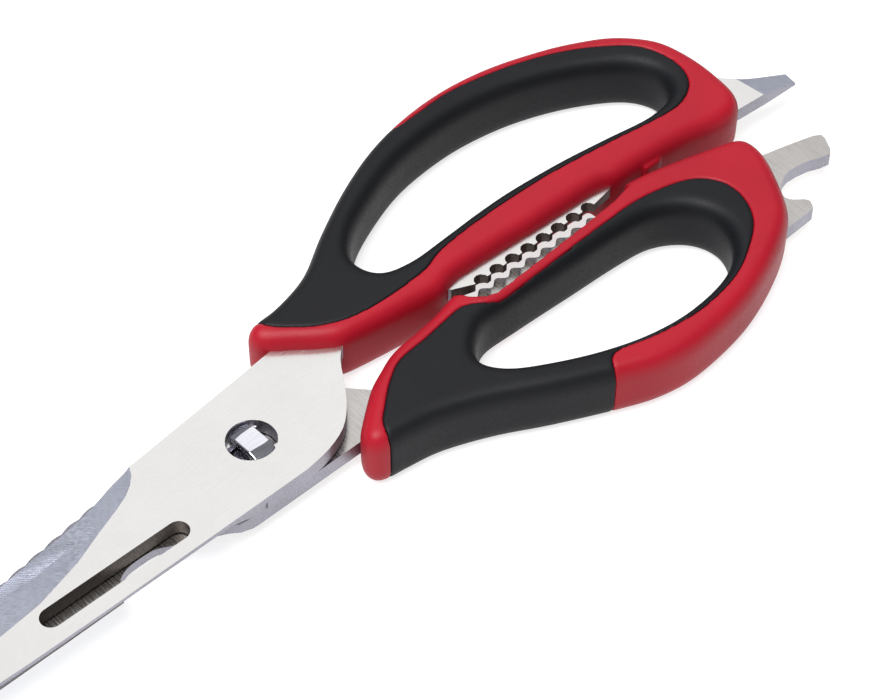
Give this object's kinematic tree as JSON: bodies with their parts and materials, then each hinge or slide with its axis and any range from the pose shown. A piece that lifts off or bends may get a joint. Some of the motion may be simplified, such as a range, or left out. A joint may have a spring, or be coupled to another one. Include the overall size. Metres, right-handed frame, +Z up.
{
  "type": "poultry shears",
  "caption": "Take-apart poultry shears lying closed: slotted blade, scaling spine, bone notch, nut-cracker jaws, soft-lined finger loops, screwdriver tip and bottle hook.",
  "frame": {"origin": "centre of the pivot stud's flush underside, on the pivot axis and level with the lower blade's outer face", "axes": "+X from the pivot towards the handles along the length of the shears, +Y towards the upper handle across the closed shears, +Z up along the pivot axis, through the thickness"},
  "size_m": [0.2394, 0.0809, 0.0126],
  "materials": {
    "blade_steel": "stainless sheet, ground along the blade, satin",
    "polished_steel": "turned and polished stainless bar",
    "hard_handle": "hard moulded plastic in deep red, fine satin texture",
    "soft_grip": "soft thermoplastic rubber in black, dull"
  },
  "bodies": {
    "lower_half": {"lower_blade": "blade_steel", "lower_handle_core": "hard_handle", "lower_grip": "soft_grip", "pivot_stud": "polished_steel"},
    "upper_half": {"upper_blade": "blade_steel", "upper_handle_core": "hard_handle", "upper_grip": "soft_grip"}
  },
  "joints": [
    {"name": "pivot_hinge", "type": "hinge", "parent": "lower_half", "child": "upper_half", "pos_m": [0, 0, 0], "axis": [0, 0, 1], "range_deg": [0, 75]}
  ]
}
